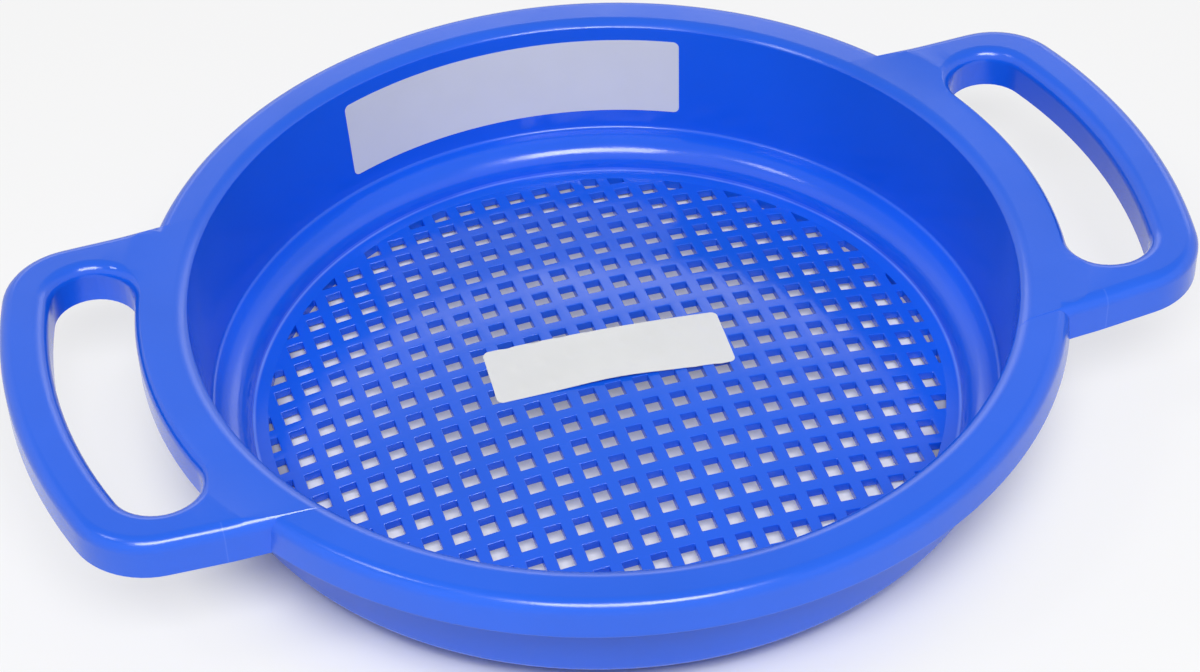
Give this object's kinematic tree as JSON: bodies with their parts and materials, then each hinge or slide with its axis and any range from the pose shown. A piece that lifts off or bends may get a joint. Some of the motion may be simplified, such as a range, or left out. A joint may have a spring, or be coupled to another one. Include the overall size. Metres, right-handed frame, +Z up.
{
  "type": "sand sieve",
  "caption": "Round sand sieve with a crowned square-hole grille for a floor, a rolled rim and a loop handle on each side.",
  "frame": {"origin": "on the resting plane, under the middle of the bowl", "axes": "+X through the right handle along the longest side, +Y away from the picture's viewer, +Z up out of the bowl"},
  "size_m": [0.3348, 0.26, 0.052],
  "materials": {
    "moulding": "satin",
    "label": "smooth film"
  },
  "bodies": {
    "root": {"rim": "moulding", "bowl": "moulding", "sieve_floor": "moulding", "left_handle": "moulding", "right_handle": "moulding", "wall_label": "label", "floor_label": "label"}
  },
  "joints": []
}
